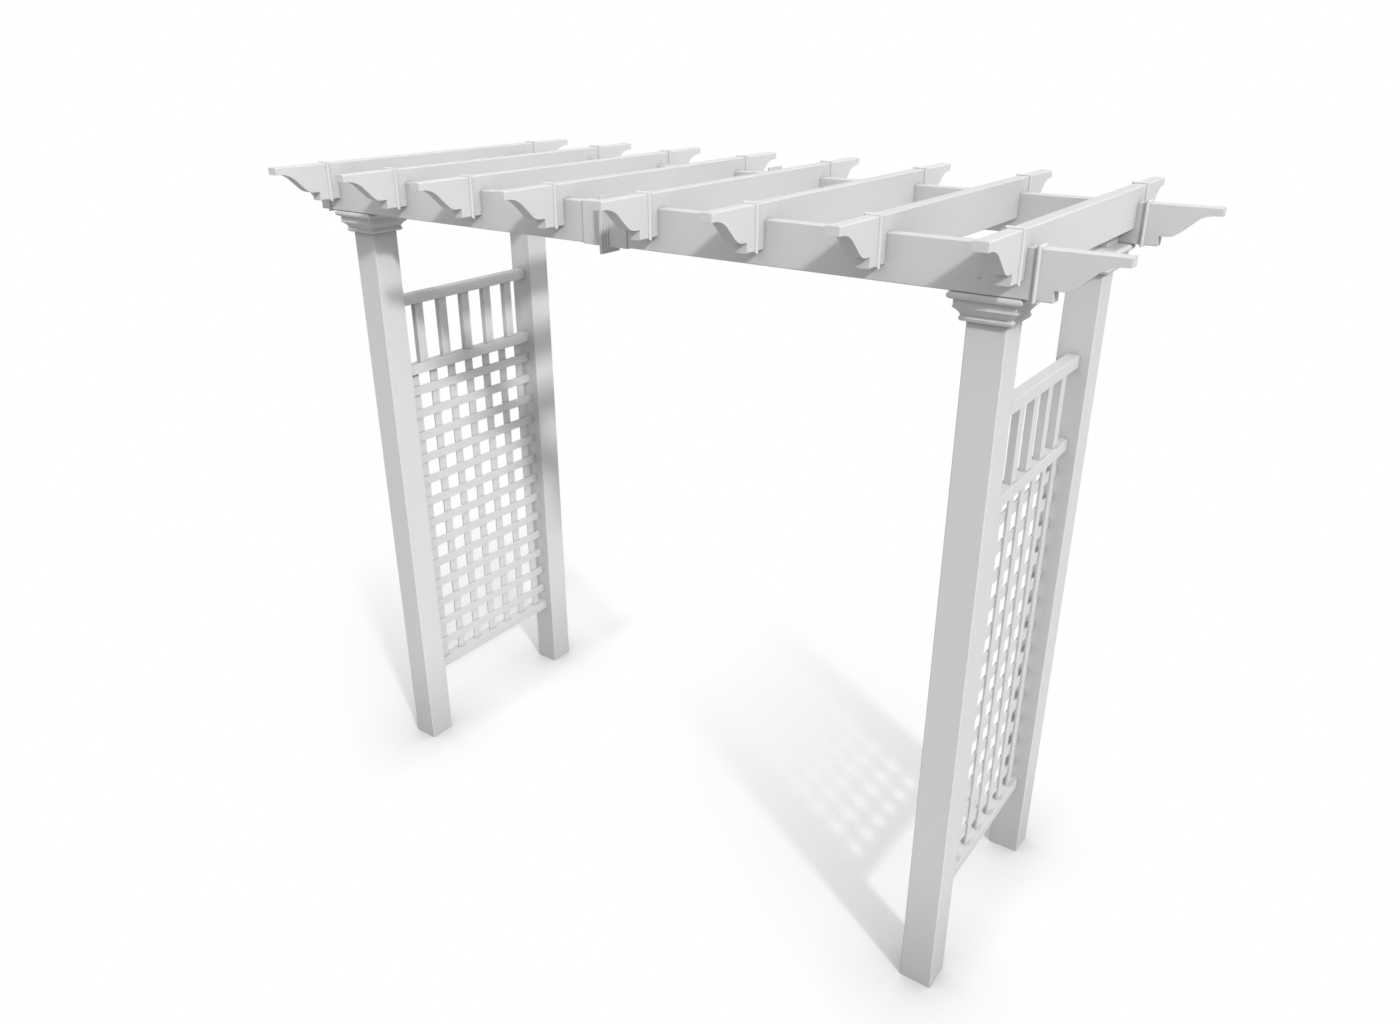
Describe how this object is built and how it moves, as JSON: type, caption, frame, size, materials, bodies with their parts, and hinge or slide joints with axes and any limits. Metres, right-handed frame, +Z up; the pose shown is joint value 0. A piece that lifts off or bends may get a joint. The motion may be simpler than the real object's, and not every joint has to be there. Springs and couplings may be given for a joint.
{
  "type": "vinyl garden arbor",
  "caption": "Walk-through garden arbor of square vinyl posts with moulded capitals, twin beams, notched rafters with scrolled ends and lattice side panels.",
  "frame": {"origin": "centre of the footprint of the whole arbor at ground level, under the middle of the walkway", "axes": "+X along the beams to the right seen from the front, +Y from the front to the back through the walkway, +Z up"},
  "size_m": [2.8856, 1.399, 2.3276],
  "materials": {
    "extruded_vinyl": "satin white extrusion",
    "moulded_vinyl": "satin white moulding",
    "splice_metal": "mill",
    "screw_coating": "white coated"
  },
  "bodies": {
    "root": {"post_front_left": "extruded_vinyl", "post_front_right": "extruded_vinyl", "post_back_left": "extruded_vinyl", "post_back_right": "extruded_vinyl", "capital_front_left": "moulded_vinyl", "capital_front_right": "moulded_vinyl", "capital_back_left": "moulded_vinyl", "capital_back_right": "moulded_vinyl", "post_plugs": "moulded_vinyl", "beam_front_left": "extruded_vinyl", "beam_front_right": "extruded_vinyl", "beam_back_left": "extruded_vinyl", "beam_back_right": "extruded_vinyl", "beam_cap_front_left": "moulded_vinyl", "beam_cap_front_right": "moulded_vinyl", "beam_cap_back_left": "moulded_vinyl", "beam_cap_back_right": "moulded_vinyl", "coupling_front_left": "moulded_vinyl", "coupling_front_right": "moulded_vinyl", "coupling_back_left": "moulded_vinyl", "coupling_back_right": "moulded_vinyl", "splice_front": "splice_metal", "splice_back": "splice_metal", "beam_screws": "screw_coating", "rafter_1": "extruded_vinyl", "rafter_2": "extruded_vinyl", "rafter_3": "extruded_vinyl", "rafter_4": "extruded_vinyl", "rafter_5": "extruded_vinyl", "rafter_6": "extruded_vinyl", "rafter_7": "extruded_vinyl", "rafter_8": "extruded_vinyl", "rafter_cap_front_1": "moulded_vinyl", "rafter_cap_front_2": "moulded_vinyl", "rafter_cap_front_3": "moulded_vinyl", "rafter_cap_front_4": "moulded_vinyl", "rafter_cap_front_5": "moulded_vinyl", "rafter_cap_front_6": "moulded_vinyl", "rafter_cap_front_7": "moulded_vinyl", "rafter_cap_front_8": "moulded_vinyl", "rafter_cap_back_1": "moulded_vinyl", "rafter_cap_back_2": "moulded_vinyl", "rafter_cap_back_3": "moulded_vinyl", "rafter_cap_back_4": "moulded_vinyl", "rafter_cap_back_5": "moulded_vinyl", "rafter_cap_back_6": "moulded_vinyl", "rafter_cap_back_7": "moulded_vinyl", "rafter_cap_back_8": "moulded_vinyl", "rafter_screws": "screw_coating", "top_rail_left": "extruded_vinyl", "mid_rail_left": "extruded_vinyl", "low_rail_left": "extruded_vinyl", "balusters_left": "extruded_vinyl", "lattice_left": "extruded_vinyl", "top_rail_right": "extruded_vinyl", "mid_rail_right": "extruded_vinyl", "low_rail_right": "extruded_vinyl", "balusters_right": "extruded_vinyl", "lattice_right": "extruded_vinyl"}
  },
  "joints": []
}
